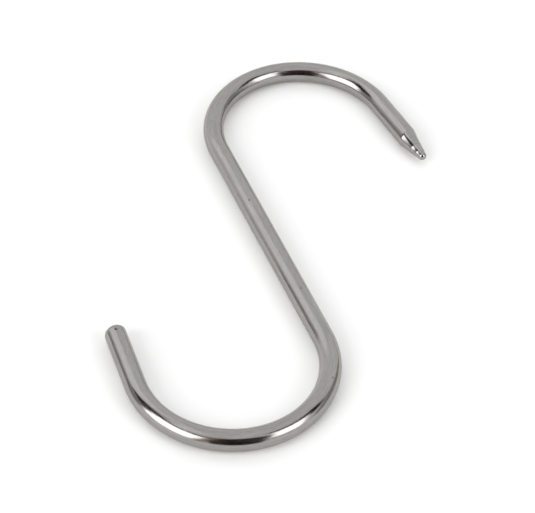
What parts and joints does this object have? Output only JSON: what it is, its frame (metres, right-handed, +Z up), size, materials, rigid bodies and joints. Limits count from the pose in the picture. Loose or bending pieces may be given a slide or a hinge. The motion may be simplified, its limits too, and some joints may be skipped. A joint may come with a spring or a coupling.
{
  "type": "s hook",
  "caption": "S-shaped hook bent from round polished steel bar, with a blunt end on one hook and a ground point on the other, for hanging goods from a rail.",
  "frame": {"origin": "on the surface that the hook lies on, under the middle of its bounding box", "axes": "+Y along the straight shank towards the pointed hook, +X towards the side that the pointed hook curls to, +Z up from the surface"},
  "size_m": [0.0754, 0.091, 0.004],
  "materials": {
    "polished_steel": "drawn bar, polished, with fine lines along its length"
  },
  "bodies": {
    "root": {"s_hook": "polished_steel"}
  },
  "joints": []
}
